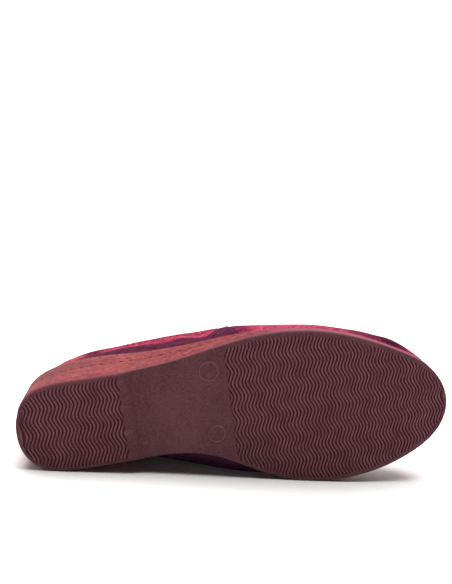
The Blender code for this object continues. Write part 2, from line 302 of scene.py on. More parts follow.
# Suede-finish cover of the wedge: brick red, brushed into paler and darker clouds, with a fine nap
def brushedSuede():
    material, tree, shader = newMaterial("brushed_suede")
    onPiece = {"Vector": node(tree, "ShaderNodeTexCoord").outputs["Object"]}
    brushed = {"Vector": node(tree, "ShaderNodeMapping", {"Scale": (0.4, 1.0, 1.0)}, onPiece).outputs[0]}
    cloud = node(tree, "ShaderNodeTexNoise", {"Scale": 1 / (5 * mm), "Detail": 6.0, "Roughness": 0.7},
                 brushed)
    # the nap is drawn coarser than the real one, so that it shows
    nap = node(tree, "ShaderNodeTexNoise", {"Scale": 1 / (1.3 * mm), "Detail": 4.0, "Roughness": 0.7},
               brushed)
    spread = node(tree, "ShaderNodeMapRange", {1: 0.3, 2: 0.7}, {0: cloud.outputs[0]})
    brick = node(tree, "ShaderNodeMix", {"data_type": "RGBA", 6: linear("6C2B31"), 7: linear("9A4849")},
                 {0: spread.outputs[0]})
    fleckAmount = node(tree, "ShaderNodeMapRange", {1: 0.48, 2: 0.64, 3: 0.0, 4: 0.9}, {0: nap.outputs[0]})
    colour = node(tree, "ShaderNodeMix", {"data_type": "RGBA", 7: linear("5E2026")},
                  {0: fleckAmount.outputs[0], 6: brick.outputs[2]})
    # painted light on the forefoot and along the foot; painted shade on the heel's back, under the arch and
    # in the needle holes
    shades = ("paintedLight", "A0566A"), ("backShade", "5A302E"), ("innerArch", "3E1A36"), ("hole", "300C12")
    for key, shade in shades:
        where = node(tree, "ShaderNodeAttribute", {"attribute_name": key})
        colour = node(tree, "ShaderNodeMix", {"data_type": "RGBA", 7: linear(shade)},
                      {0: where.outputs["Fac"], 6: colour.outputs[2]})
    folds = {"Vector": node(tree, "ShaderNodeMapping", {"Scale": (0.16, 1.0, 1.0)}, onPiece).outputs[0]}
    wrinkle = node(tree, "ShaderNodeTexNoise", {"Scale": 1 / (2.6 * mm), "Detail": 2.0}, folds)
    wave = node(tree, "ShaderNodeBump", {"Strength": 0.6, "Distance": 0.6 * mm},
                {"Height": wrinkle.outputs[0]})
    bump = node(tree, "ShaderNodeBump", {"Strength": 0.35, "Distance": 0.35 * mm},
                {"Height": nap.outputs[0], "Normal": wave.outputs[0]})
    setUp(tree, shader,
          {"Roughness": 0.72, "Specular IOR Level": 0.12, "Sheen Weight": 0.04, "Sheen Roughness": 0.5,
           "Sheen Tint": linear("D88C84")},
          {"Base Color": colour.outputs[2], "Normal": bump.outputs[0]})
    return material


# Short-pile velour in a plain plaid: crimson with plum bands, deeper along the foot than across it, and
# ragged at their edges, with the pile brushed in slanting streaks
def plaidVelour():
    material, tree, shader = newMaterial("plaid_velour")
    onPiece = {"Vector": node(tree, "ShaderNodeTexCoord").outputs["Object"]}
    slant = node(tree, "ShaderNodeMapping",
                 {"vector_type": "TEXTURE", "Rotation": (0.0, 0.0, 0.9), "Scale": (5.0, 1.0, 1.0)}, onPiece)
    streak = node(tree, "ShaderNodeTexNoise", {"Scale": 1 / (2.0 * mm), "Detail": 4.0, "Roughness": 0.6},
                  {"Vector": slant.outputs[0]})
    nap = node(tree, "ShaderNodeTexNoise", {"Scale": 1 / (14 * mm), "Detail": 3.0}, onPiece)
    # the pile is drawn coarser than the real one, so that it shows
    pile = node(tree, "ShaderNodeTexNoise", {"Scale": 1 / (0.8 * mm), "Detail": 2.0}, onPiece)
    ragged = node(tree, "ShaderNodeMapRange", {1: 0.25, 2: 0.75, 3: -5.0, 4: 5.0}, {0: streak.outputs[0]})
    masks = []
    for key in ("plumAcross", "plumAlong"):  # millimetres inside a band's edge
        inside = node(tree, "ShaderNodeAttribute", {"attribute_name": key})
        shifted = node(tree, "ShaderNodeMath", {"operation": "ADD"},
                       {0: inside.outputs["Fac"], 1: ragged.outputs[0]})
        masks.append(node(tree, "ShaderNodeMapRange", {1: -1.8, 2: 1.8}, {0: shifted.outputs[0]}))
    crimson = node(tree, "ShaderNodeMix", {"data_type": "RGBA", 6: linear("90304A"), 7: linear("A43F57")},
                   {0: nap.outputs[0]})
    crossed = node(tree, "ShaderNodeMix", {"data_type": "RGBA", 7: linear("6B1C3A")},
                   {0: masks[0].outputs[0], 6: crimson.outputs[2]})
    plumTone = node(tree, "ShaderNodeMix", {"data_type": "RGBA", 6: linear("461029"), 7: linear("49142F")},
                    {0: masks[0].outputs[0]})
    plaid = node(tree, "ShaderNodeMix", {"data_type": "RGBA"},
                 {0: masks[1].outputs[0], 6: crossed.outputs[2], 7: plumTone.outputs[2]})
    brush = node(tree, "ShaderNodeMapRange", {1: 0.38, 2: 0.62, 3: 0.55, 4: 1.4}, {0: streak.outputs[0]})
    shaded = node(tree, "ShaderNodeMix", {"data_type": "RGBA", "blend_type": "MULTIPLY", 0: 1.0},
                  {6: plaid.outputs[2], 7: brush.outputs[0]})
    bump = node(tree, "ShaderNodeBump", {"Strength": 0.5, "Distance": 0.6 * mm}, {"Height": pile.outputs[0]})
    setUp(tree, shader,
          {"Roughness": 0.88, "Specular IOR Level": 0.03, "Sheen Weight": 0.015, "Sheen Roughness": 0.35,
           "Sheen Tint": linear("D85A80")},
          {"Base Color": shaded.outputs[2], "Normal": bump.outputs[0]})
    return material


# Brushed fleece inside and on the insole: one soft colour, clumped by the fibres
def brushedFleece(name, pale, dark):
    material, tree, shader = newMaterial(name)
    onPiece = {"Vector": node(tree, "ShaderNodeTexCoord").outputs["Object"]}
    clump = node(tree, "ShaderNodeTexNoise", {"Scale": 1 / (2.4 * mm), "Detail": 5.0, "Roughness": 0.6},
                 onPiece)
    tone = node(tree, "ShaderNodeMapRange", {1: 0.35, 2: 0.65}, {0: clump.outputs[0]})
    fleece = node(tree, "ShaderNodeMix", {"data_type": "RGBA", 6: linear(dark), 7: linear(pale)},
                  {0: tone.outputs[0]})
    bump = node(tree, "ShaderNodeBump", {"Strength": 0.6, "Distance": 0.8 * mm}, {"Height": clump.outputs[0]})
    setUp(tree, shader, {"Roughness": 0.92, "Sheen Weight": 0.5, "Sheen Tint": linear("E8A8B4")},
          {"Base Color": fleece.outputs[2], "Normal": bump.outputs[0]})
    return material


# Polyester sewing thread: a shade darker than the cloth, satin, with its twist as a fine bump
def sewingThread():
    material, tree, shader = newMaterial("sewing_thread")
    onPiece = {"Vector": node(tree, "ShaderNodeTexCoord").outputs["Object"]}
    twist = node(tree, "ShaderNodeTexNoise", {"Scale": 1 / (0.5 * mm), "Detail": 1.0}, onPiece)
    dye = node(tree, "ShaderNodeMix", {"data_type": "RGBA", 6: linear("4A0E26"), 7: linear("621A36")},
               {0: twist.outputs[0]})
    bump = node(tree, "ShaderNodeBump", {"Strength": 0.4, "Distance": 0.15 * mm},
                {"Height": twist.outputs[0]})
    setUp(tree, shader, {"Roughness": 0.6, "Specular IOR Level": 0.1},
          {"Base Color": dye.outputs[2], "Normal": bump.outputs[0]})
    return material


# Outsole: ridges run across in zigzags under the heel and the ball, with a plain edge and waist
outsole = {
    "edgeWide": 1.5, "edgeTall": 2.6, "edgeSteps": 7, "lip": ((0.15, 3.8), (0.4, 4.5)),  # round, then a lip
    "edgeShare": ((60.0, 1.0), (68.0, 0.35), (150.0, 0.4), (178.0, 0.7)),  # of the full round, by station
    "innerEdge": 0.45,  # share of it left on the inner side
    "plainEdge": (1.8, 2.8, 2.6, 1.2), "plainFore": (160.0, 200.0), "toeTip": (245.5, 253.1),
    "heelPitch": 2.085, "forePitch": 2.094, "grooveShare": 0.56, "grooveDepth": 0.9, "grooveSlope": 0.14,
    "rowSlope": 0.088, "wavePeriod": 14.4, "waveReach": 1.27, "waveTurn": 0.081, "thirdPart": 24.0,
    "tipFade": 3.0, "waistFade": 8.0,  # over these lengths a zigzag straightens
    "heelEnd": 59.9, "heelRow": 61.1, "heelWave": 22.7,  # pad's end, last ridge, row of the zigzags' start
    "foreStart": 121.4, "foreRow": 119.4, "foreWave": 153.6,
    "padEdge": (-0.3, 0.3), "wornFrom": (0.4, 1.4), "across": 76, "endWall": 0.005, "endGap": 0.6,
    "tipRows": (0.0, 0.02, 0.08, 0.2, 0.42), "waistRows": 30, "waistClear": (4.0, 0.9),
    "breast": 64.4, "breastRun": 2.2, "breastLine": 0.35, "waistHollow": 1.5, "padStart": 120.0,
    "foreTone": (108.0, 150.0), "foreRim": 0.5,  # the rim darkens towards the forefoot
    "rings": ((109.0, -24.5, 5.3), (112.2, 12.2, 4.7)),  # place and radius
    "ringTube": 0.45, "ringSteps": (72, 10), "ringWorn": 0.7, "loopSteps": 8000, "sharp": 35,
}


# rounded zigzag: a sine with a little of its third harmonic
def zigzag(phase):
    return np.sin(phase) - np.sin(3 * phase) / outsole["thirdPart"]


# shift of a ridge along the foot at a place across it; on one row of each pad the zigzag starts at y = 0
def ridgeWave(y, rho, ends):
    s = outsole
    origin = np.where(rho < s["breast"], s["heelWave"], s["foreWave"])
    phase = 2 * np.pi * (y + s["waveTurn"] * (rho - origin)) / s["wavePeriod"]
    fade = smooth(rho, ends[0], ends[0] + s["tipFade"])
    fade = fade * (1 - smooth(rho, ends[1] - s["tipFade"], ends[1]))
    pastHeel = np.clip((rho - s["heelRow"]) / (s["breast"] - s["heelRow"]), 0, 1)
    beforeFore = np.clip((s["foreRow"] - rho) / s["waistFade"], 0, 1)
    return s["waveReach"] * zigzag(phase) * fade * (1 - pastHeel * beforeFore)


# width of the plain edge beside the tread: inner side, inner side of the forefoot, outer side and toe's tip
def plainAt(turns):
    s = outsole
    row = rowAt(turns)
    inner, innerFore, outer, tip = s["plainEdge"]
    inner = inner + (innerFore - inner) * smooth(row, *s["plainFore"])
    sides = inner + (outer - inner) * outerShare(turns)
    return sides + (tip - sides) * smooth(row, *s["toeTip"])


# the hollow of the waist: a step up at the heel's breast, then down to nothing where the forefoot pad starts
def waistRise(rho):
    s = outsole
    run = np.clip((rho - s["breast"] - s["breastRun"]) / (s["padStart"] - s["breast"] - s["breastRun"]), 0, 1)
    step = np.clip((rho - s["breast"]) / s["breastRun"], 0, 1)
    return s["waistHollow"] * (1 - run ** 2) ** 2 * step


# rows of the tread from one place to another, and how deep each is cut: four rows to a ridge
def treadRows(start, end, pitch):
    s = outsole
    count = int((end - start) / pitch + 1 - s["grooveShare"])  # the last groove needs no ridge past it
    corner = np.array([0.0, s["grooveSlope"], s["grooveShare"] - s["grooveSlope"], s["grooveShare"]])
    rows = start + pitch * (np.arange(count)[:, None] + corner)
    cut = np.broadcast_to([0.0, 1.0, 1.0, 0.0], rows.shape)
    return rows.ravel(), cut.ravel()


# all rows from heel to toe, and how deep each is cut
def soleRows(ends):
    s = outsole
    heelLong = np.floor((s["heelRow"] - ends[0] - s["endGap"]) / s["heelPitch"]) * s["heelPitch"]
    heelRows, heelCut = treadRows(s["heelRow"] - heelLong, s["heelRow"], s["heelPitch"])
    foreRows, foreCut = treadRows(s["foreRow"], ends[1] - s["endGap"], s["forePitch"])
    tips = np.array(s["tipRows"])
    breast = s["breast"] + np.array([0.0, s["breastRun"]])
    waist = np.linspace(s["breast"] + s["waistClear"][0], foreRows[0] - s["waistClear"][1], s["waistRows"])
    rho = np.concatenate([ends[0] + tips, heelRows, breast, waist, foreRows, ends[1] - tips[::-1]])
    cut = np.concatenate([0 * tips, heelCut, 0 * breast, 0 * waist, foreCut, 0 * tips])
    return rho, cut


# the rounded edge of one side, from the plain edge's inner line out and up to the top
def soleEdge(side, lift):
    s = outsole
    ground = toeRise(side["row"]) + lift
    tall = soleTop(side["row"]) - ground
    thin = s["innerEdge"] + (1 - s["innerEdge"]) * outerShare(side["turns"])
    thin = thin * np.interp(side["row"], *np.array(s["edgeShare"]).T)
    angle = np.linspace(0, np.pi / 2, s["edgeSteps"])
    profile = [*zip(s["edgeWide"] * (1 - np.sin(angle)), s["edgeTall"] * (1 - np.cos(angle))), *s["lip"]]
    rings = [ringAt(side, -plainAt(side["turns"]), ground)]
    rings += [ringAt(side, -away * thin, ground + up / last["soleThick"] * tall) for away, up in profile]
    return np.stack(rings, 1)


# two plain moulded rings on the waist: half-sunk tubes on a circle
def addRings(points, faces, values):
    s = outsole
    u, v = np.meshgrid(*(np.linspace(0, 2 * np.pi, count, False) for count in s["ringSteps"]), indexing="ij")
    worn = {"ridge": s["ringWorn"]}
    for cx, cy, radius in s["rings"]:
        away = radius + s["ringTube"] * np.cos(v)
        level = waistRise(np.array(cx - s["rowSlope"] * cy))
        ring = np.stack([cx + away * np.cos(u), cy + away * np.sin(u), level + s["ringTube"] * np.sin(v)], -1)
        faces = np.concatenate([faces, len(points) + gridFaces(*s["ringSteps"], True, True)])
        points = np.concatenate([points, ring.reshape(-1, 3)])
        values = {key: np.append(amounts, worn.get(key, 0.0) + 0 * u) for key, amounts in values.items()}
    return points, faces, values


# each row is a slanting line across the sole, shifted by its zigzag, between the edges of the two sides
def buildOutsole():
    s = outsole
    steps = s["loopSteps"]
    loopStart = -np.pi / 2  # the middle of the inner side
    loop = outlineAt(np.mod(np.linspace(loopStart, loopStart + 2 * np.pi, steps + 1), 2 * np.pi))
    inset = loop["plan"] - loop["normal"] * plainAt(loop["turns"])[:, None]
    reach = inset[:, 0] - s["rowSlope"] * inset[:, 1]
    heel, toe = np.argmin(reach), np.argmax(reach)
    ends = reach[heel], reach[toe]
    rho, cut = soleRows(ends)

    # where each row meets the plain edge, on the outer and on the inner side
    edges = []
    for path in (np.arange(heel, toe + 1), np.arange(heel, toe - steps - 1, -1)):
        edge = inset[path % steps]
        along = edge[:, 0] - s["rowSlope"] * edge[:, 1]
        along = along - ridgeWave(edge[:, 1], along, ends)
        meets = np.interp(rho, np.maximum.accumulate(along), loopStart + path * 2 * np.pi / steps)
        edges.append(soleEdge(outlineAt(meets), waistRise(rho)))

    # between the two sides each row follows its zigzag, and every groove ends in a short wall
    start, end = edges[0][:, 0], edges[1][:, 0]
    g = np.concatenate([[0], np.linspace(s["endWall"], 1 - s["endWall"], s["across"]), [1]])
    y = start[:, 1:2] + (end - start)[:, 1:2] * g
    line = rho[:, None] + s["rowSlope"] * y + ridgeWave(y, rho[:, None], ends)
    x = line + (start[:, :1] - line[:, :1]) * (1 - g) + (end[:, :1] - line[:, -1:]) * g
    rise = start[:, 2:] + (end - start)[:, 2:] * g
    inner = ((g > 0) & (g < 1)).astype(float)
    straight = x - s["rowSlope"] * y  # the pads end along straight lines
    fromEnd = np.where(rho[:, None] < s["breast"], s["heelEnd"] - straight, straight - s["foreStart"])
    depth = cut[:, None] * smooth(fromEnd, *s["padEdge"]) * inner
    tread = np.stack([x, y, rise + s["grooveDepth"] * depth], -1)
    points = np.concatenate([edges[0][:, :0:-1], tread, edges[1][:, 1:]], 1)

    # how much of each shade a point takes; the rim's column next to the plain edge has none
    rim = np.ones((len(rho), edges[0].shape[1] - 1))
    rim[:, -1] = 0.0
    atFore = smooth(rho, *s["foreTone"])[:, None]
    atBreast = s["breastLine"] * np.exp(-(rho - s["breast"] - s["breastRun"]) ** 2)[:, None]
    shades = {
        "groove": (s["foreRim"] * atFore * rim, np.maximum(depth, atBreast * inner)),
        "ridge": (0 * rim, inner * smooth(fromEnd, *s["wornFrom"]) * (1 - cut[:, None])),
        "rim": ((1 - atFore) * rim, 0 * depth),
    }
    values = {key: np.concatenate([edge, flat, edge[:, ::-1]], 1) for key, (edge, flat) in shades.items()}
    faces = gridFaces(*points.shape[:2], wrapCols=True)
    points, faces, values = addRings(points.reshape(-1, 3), faces, values)
    piece = addPiece("outsole_tread", points, faces, [mouldedRubber()], s["sharp"], values)
    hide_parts("outsole")


# Wedge: the covered side flares from the outsole's edge to the foot, with one row of stitches
wedge = {
    "baseInset": (0.1, 0.8), "insetFrom": (8.0, 30.0),  # flush with the outsole at the back
    "topRound": 1.2, "roundSteps": (30, 60, 90),
    "belowLine": (0, 0.02, 0.045, 0.07, 0.095, 0.13, 0.3, 0.5, 0.75), "aboveLine": (0.3, 0.65, 1.0),
    "onLine": (-1, -0.75, -0.5, -0.32, -0.16, 0, 0.16, 0.32, 0.5, 0.75, 1),
    "stitchShare": 0.56, "stitchPitch": 5.75, "perStitch": 10, "stitchEnd": (108.0, 118.0),
    "lineHalf": 1.5, "fullHeight": 9.0, "lineDepth": 0.14, "lineWide": 0.8, "lineKept": 0.4,
    "threadRise": 0.3, "threadHalf": 0.5, "threadEnd": (0.15, 0.35),
    # the needle holes' darker tone is painted shade
    "holeDepth": 0.9, "holeHalf": 0.5, "holeLong": 0.17, "holeVary": 0.25, "holeStep": 2.4, "holeShadeTone": 0.75,
    "seamShare": 0.07, "seamDepth": 0.2, "seamHalf": 0.5, "seamTall": (5.0, 12.0), "seamTone": 0.1,
    # painted light: the forefoot's side and a highlight along the foot are paler
    "footHighlight": 0.35, "forefootLightTone": 0.7, "forefootLightFrom": (130.0, 175.0),
    # painted shade on the back of the heel, where the side turns away from the light
    "backShadeTone": 0.75, "backTo": (10.0, 58.0), "backFrom": (0.2, 0.85),
    "archFrom": (50.0, 64.0), "archTo": (132.0, 150.0), "fineSteps": 4000, "sharp": 50,
}


# turns at even steps along the outer side, so many to a stitch, and the same rows on the inner side
def stitchTurns():
    fine = np.linspace(0, np.pi, wedge["fineSteps"] + 1)
    length = runLength(planAt(fine))
    stitches = int(round(length[-1] / wedge["stitchPitch"]))
    half = np.interp(np.linspace(0, length[-1], stitches * wedge["perStitch"] + 1), length, fine)
    return np.concatenate([half, 2 * np.pi - half[-2:0:-1]])


# a sunk line, threads that stand up in it, a needle hole at each end of a thread and a seam at the foot:
# bell curves of the height over the line, and of the share of a stitch along it
def wedgeRelief(outline, climb, line, tall):
    s = wedge
    step = np.arange(len(outline["turns"]))
    phase = step % s["perStitch"] / s["perStitch"]
    phase = np.where(outline["outer"], phase, (1 - phase) % 1)
    fromHole = np.minimum(phase, 1 - phase)
    away = climb - line
    fade = 1 - smooth(outline["row"], *s["stitchEnd"])
    sunk = np.exp(-(away / s["lineWide"]) ** 2) * (s["lineKept"] + (1 - s["lineKept"]) * fade)
    thread = np.sqrt(np.clip(1 - (away / s["threadHalf"]) ** 2, 0, 1)) * smooth(fromHole, *s["threadEnd"])
    uneven = 1 - s["holeVary"] + s["holeVary"] * np.sin(s["holeStep"] * np.round(step / s["perStitch"]))
    hole = np.exp(-(away / s["holeHalf"]) ** 2 - (fromHole / s["holeLong"]) ** 2) * fade * uneven
    seam = np.exp(-((climb - s["seamShare"] * line) / s["seamHalf"]) ** 2) * smooth(tall, *s["seamTall"])
    relief = s["threadRise"] * thread * fade - s["lineDepth"] * sunk
    relief = relief - s["holeDepth"] * hole - s["seamDepth"] * seam
    # the holes are darkened as painted shade, the seam at the foot as a darker joint
    return relief, np.maximum(s["holeShadeTone"] * hole, s["seamTone"] * seam)


# at each place round the outline the side runs straight from its foot to a rounded top, plus the relief
def buildWedge():
    s = wedge
    outline = outlineAt(stitchTurns())
    row, count = outline["row"], len(outline["turns"])
    bottom = soleTop(row) + last["gap"]
    top = wedgeTop(outline)
    tall = top - bottom
    flare = bySide(wedgeShape, outline)
    line = s["stitchShare"] * tall
    band = s["lineHalf"] * np.minimum(1, tall / s["fullHeight"])
    low, near, high = (np.array(s[key])[:, None] for key in ("belowLine", "onLine", "aboveLine"))
    above = line + band + high * (tall - s["topRound"] - line - band)
    climb = np.concatenate([low * (line - band), line + band * near, above])
    inset = s["baseInset"][0] + np.diff(s["baseInset"]) * smooth(row, *s["insetFrom"])
    relief, dark = wedgeRelief(outline, climb, line, tall)
    offset = -inset + (flare + inset) * climb / (tall - s["topRound"]) + relief
    angle = np.radians(s["roundSteps"])[:, None]
    roundIn, roundDown = s["topRound"] * (1 - np.cos(angle)), s["topRound"] * (1 - np.sin(angle))
    rings = np.concatenate([
        ringAt(outline, offset, bottom + climb),
        ringAt(outline, flare - roundIn, top - roundDown),
    ])
    caps = [acrossFaces(count, 0), acrossFaces(count, count * (len(rings) - 1))]
    faces = np.concatenate([gridFaces(*rings.shape[:2], wrapCols=True), *caps])

    # holes darkened and the heel's back shaded as painted shade, the forefoot and the foot paler as painted
    # light, and a deep painted shade in plum under the arch
    rounded = np.ones((len(angle), count))
    share = np.concatenate([climb / tall, rounded])
    pale = s["forefootLightTone"] * smooth(row, *s["forefootLightFrom"])
    arch = np.where(outline["outer"], 0.0, smooth(row, *s["archFrom"]) * (1 - smooth(row, *s["archTo"])))
    values = {
        "hole": np.concatenate([dark, 0 * rounded]),
        "paintedLight": np.maximum(pale, s["footHighlight"] * np.exp(-(share * tall) ** 2)),
        "backShade": s["backShadeTone"] * (1 - smooth(row, *s["backTo"])) * smooth(share, *s["backFrom"]),
        "innerArch": np.tile(arch, (len(rings), 1)),
    }
    piece = addPiece("wedge_cover", rings, faces, [brushedSuede()], s["sharp"], values)
    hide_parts("wedge")


# Upper: a curve climbs from each point of the sole to the collar, then over the hem and down the lining
upper = {
    "around": 560, "rows": 66, "wall": 2.6, "inset": 0.4, "footGap": 0.1, "floorGap": 0.1, "sharp": 60,
    "hemWide": 7.0, "hemSwell": 0.35, "hemBlend": (-1.5, 1.0), "hemSteps": 11, "liningSwell": 0.4,
    "hemLine": 0.4, "hemLineHalf": 1.3,  # a sunk line under the hem
    "plumAcross": ((43.5, 10.0), (127.3, 17.5), (212.0, 36.0)),  # middle along the foot, and width
    "plumVamp": ((-30.0, 9.0), (8.0, 14.0), (43.0, 12.0)),  # middle across the vamp, and width
    "vampFoot": 1.5, "shoulder": 0.35, "shoulderAt": 2.2, "creaseEnds": (0.02, 0.98), "creaseFade": 0.7,
    "slackFrom": (38.0, 52.0), "slackTo": (4.0, 12.0), "slackDepth": 0.3,
    "slackWave": {"along": 5.0, "sway": 1.3, "swayUp": 6.5, "up": 4.5, "drift": 19.0},
    "settle": (0.0, 4.0), "puffFrom": (0.5, 7.0), "puffTo": (34.0, 60.0),  # lengths up from the sole
    "sideSeam": 128.0, "backSeamTo": 40.0, "seamDepth": 0.35, "seamHalf": 1.7,
    "stitchIn": 5.2, "seamStitch": 2.2, "seamRows": (3, -4),
    "threadPitch": 4.0, "threadLong": 2.9, "threadHalf": 0.34, "threadSteps": 7, "threadSides": 6,
    "threadAim": 0.5, "threadSharp": 80,
}
collarShape = listed(  # by the share of the way from heel to toe
    "share station inner outer height rise reach fall",
    (0.00, 10.0, 0.0, 0.0, 77.0, 14.0, 15.0, 74.0), (0.12, 14.5, 12.5, 11.5, 76.5, 14.0, 15.0, 76.0),
    (0.20, 26.5, 22.0, 21.0, 74.5, 14.0, 15.0, 80.0), (0.28, 46.0, 24.5, 27.7, 71.0, 14.0, 14.0, 83.0),
    (0.36, 70.0, 25.5, 32.4, 66.5, 15.0, 14.0, 84.0), (0.44, 96.0, 28.0, 36.8, 62.5, 17.0, 15.0, 82.0),
    (0.52, 118.0, 29.0, 38.6, 61.0, 19.0, 17.0, 70.0), (0.62, 135.0, 25.0, 32.5, 61.5, 22.0, 20.0, 52.0),
    (0.75, 145.5, 15.5, 19.5, 63.0, 27.0, 28.0, 36.0), (0.88, 150.0, 7.5, 9.0, 64.0, 27.0, 36.0, 27.0),
    (1.00, 151.5, 0.0, 0.0, 64.5, 25.0, 42.0, 24.0),
)
wallLean = listed(  # degrees inwards where the upper leaves the sole
    "station inner outer",
    (0.0, 5.0, 5.0), (20.0, 2.5, 10.0), (45.0, 3.0, 7.0), (80.0, 4.0, 1.0), (110.0, 5.0, -1.0),
    (140.0, 1.0, -3.0), (175.0, -1.5, -7.0), (200.0, -1.0, -16.0), (220.0, -4.0, -23.0),
    (240.0, -6.0, -17.0), (253.1, -8.0, -8.0),
)
outerPuff = listed(  # how far the outer side is padded out, up to the top of its curve
    "station out",
    (0.0, 0.0), (18.0, -0.2), (28.0, 0.6), (40.0, 0.05), (58.0, -0.6), (72.0, -0.6), (84.0, -1.1),
    (92.0, -1.1), (99.0, -1.2), (106.0, -2.6), (113.0, -3.1), (118.0, -1.3), (124.0, 1.0), (131.0, 1.3),
    (142.0, 0.8), (160.0, 0.3), (178.0, 0.4), (192.0, 0.2), (204.0, 0.5), (213.0, 0.7), (219.0, 1.3),
    (225.0, 1.2), (232.0, 0.6), (241.0, 0.1), (253.1, 0.0),
)
plumEdge = listed(  # how far up from the sole the band behind the side seam reaches
    "station up",
    (0.0, -8.0), (30.0, -6.0), (36.0, 8.0), (40.0, 16.0), (48.0, 23.0), (60.0, 26.0), (76.0, 30.0),
    (90.0, 29.0), (104.0, 30.5), (112.0, 34.0), (118.0, 37.0), (128.0, 42.0),
)
creases = listed(  # side, from and to (along the foot, up from the sole), depth in and half width
    "side fromX fromUp toX toUp depth half",
    (-1, 140, 62, 158, 42, 1.4, 2.8), (-1, 152, 76, 178, 44, 2.8, 2.8), (-1, 168, 94, 192, 46, 2.6, 2.8),
    (-1, 188, 84, 211, 50, 1.9, 2.8),
    (-1, 58, 34, 106, 20, 0.8, 5.0), (-1, 84, 42, 100, 32, -0.5, 5.0), (-1, 20, 40, 52, 26, 1.0, 4.5),
    (1, 140, 60, 162, 28, 1.4, 3.0), (1, 154, 74, 182, 26, 2.8, 3.0), (1, 170, 92, 198, 34, 2.6, 3.0),
    (1, 190, 82, 213, 42, 1.9, 2.8),
    (1, 60, 36, 104, 24, 0.9, 5.0), (1, 28, 42, 54, 24, 0.9, 4.5),
)


# how far a place is inside the nearest of some bands, each with its middle and its width
def insideBands(bands, at):
    return np.max([width / 2 - np.abs(at - middle) for middle, width in bands], 0)


def collarAt(name, shares):
    return curveThrough(collarShape["share"], collarShape[name], shares, name not in ("inner", "outer"))


# outward normals of a grid whose columns run round and whose rows climb
def gridNormals(grid):
    around = np.roll(grid, -1, 1) - np.roll(grid, 1, 1)
    climb = np.gradient(grid, axis=0)
    return unit(np.cross(around, climb)), unit(climb)


# a cubic Bezier curve from each point of the sole's edge, along the wall's lean, to the collar
def upperCurves(outline, shares):
    s = upper
    lean = np.radians(bySide(wallLean, outline))
    tuck = s["wall"] * np.sin(np.clip(lean, 0, None))
    foot = ringAt(outline, bySide(wedgeShape, outline) - s["inset"], wedgeTop(outline) + s["footGap"] + tuck)
    side = np.where(outline["outer"], -collarAt("outer", shares), collarAt("inner", shares))
    across = groundOutline["shift"][0] + side
    collar = np.stack([collarAt("station", shares), across, collarAt("height", shares)], -1)
    leaving = np.column_stack([-outline["normal"] * np.sin(lean)[:, None], np.cos(lean)])
    lower = foot + collarAt("rise", shares)[:, None] * leaving
    fall = np.radians(collarAt("fall", shares))[:, None]
    back = np.column_stack([unit(foot[:, :2] - collar[:, :2]) * np.cos(fall), -np.sin(fall)])
    higher = collar + collarAt("reach", shares)[:, None] * back
    v = np.linspace(0, 1, s["rows"])[:, None, None]
    w = 1 - v
    return w ** 3 * foot + 3 * w ** 2 * v * lower + 3 * w * v ** 2 * higher + v ** 3 * collar


# soft troughs with raised shoulders along straight lines on the laid-out cloth, gone at both ends
def creaseDepth(x, girth, facing):
    s = upper
    dent = np.zeros(girth.shape)
    for side, x0, up0, x1, up1, depth, half in zip(*creases.values()):
        run = np.array([x1 - x0, up1 - up0])
        t = np.clip(((x - x0) * run[0] + (girth - up0) * run[1]) / (run @ run), 0, 1)
        gap = np.hypot(x - x0 - t * run[0], girth - up0 - t * run[1])
        shoulder = np.exp(-((gap - s["shoulderAt"] * half) / half) ** 2)
        trough = np.exp(-(gap / half) ** 2) - s["shoulder"] * shoulder
        fade = np.sin(np.pi * np.clip(t, *s["creaseEnds"])) ** s["creaseFade"]
        dent += depth * trough * fade * (facing == side)
    return dent


# a slack ripple high up on the cloth, gone before the hem: the product of two sines, one of them swaying
def slackDepth(x, girth, toHem):
    wave = upper["slackWave"]
    ripple = np.sin(x / wave["along"] + wave["sway"] * np.sin(girth / wave["swayUp"]))
    ripple = ripple * np.sin(girth / wave["up"] + x / wave["drift"])
    slack = smooth(girth, *upper["slackFrom"]) * smooth(toHem, *upper["slackTo"])
    return upper["slackDepth"] * ripple * slack


# all columns of a path, read at some places along it
def readPath(path, length, at):
    return np.stack([np.interp(at, length, column) for column in path.T], -1)


# places and directions at even steps along a path whose rows hold a point and its normal
def alongPath(path):
    length = runLength(path[:, :3])
    count = int(length[-1] / upper["threadPitch"])
    middle = (np.arange(count) + 0.5) * length[-1] / count
    here = readPath(path, length, middle)
    ahead = readPath(path, length, middle + upper["threadAim"])
    return here[:, :3], here[:, 3:], ahead[:, :3] - here[:, :3]


# one row of threads runs round inside the collar's edge, and one beside the seam on each side;
# each thread is a spindle along its own direction, half sunk
def addStitching(outside, normal, toHem):
    s = upper
    laid = np.concatenate([outside, normal], -1)
    column = np.arange(s["around"])
    low = np.argmax(toHem < s["stitchIn"], 0)
    before, after = toHem[low - 1, column], toHem[low, column]
    share = ((before - s["stitchIn"]) / (before - after))[:, None]
    hemPath = laid[low - 1, column] * (1 - share) + laid[low, column] * share
    paths = [np.concatenate([hemPath, hemPath[:1]])]
    half = s["around"] // 2
    first, end = s["seamRows"]
    for order in (np.arange(1, half), np.arange(s["around"] - 1, half, -1)):
        at = s["sideSeam"] - s["seamStitch"]
        paths.append(np.array([readPath(ring, ring[:, 0], at) for ring in laid[first:end, order]]))
    threads = [alongPath(path) for path in paths]
    centres, normals, along = (np.concatenate(parts)[:, None, None] for parts in zip(*threads))
    along, normals = unit(along), unit(normals)
    steps, sides = s["threadSteps"], s["threadSides"]
    t = np.linspace(-1, 1, steps)[:, None, None]
    w = (np.arange(sides) * 2 * np.pi / sides)[:, None]
    around = np.cos(w) * np.cross(along, normals) + np.sin(w) * normals
    spindles = centres + t * s["threadLong"] / 2 * along + s["threadHalf"] * np.sqrt(1 - t ** 2) * around
    starts = np.arange(len(centres))[:, None, None] * steps * sides
    faces = (starts + gridFaces(steps, sides, wrapCols=True)).reshape(-1, 4)
    piece = addPiece("upper_stitching", spindles, faces, [sewingThread()], s["threadSharp"])


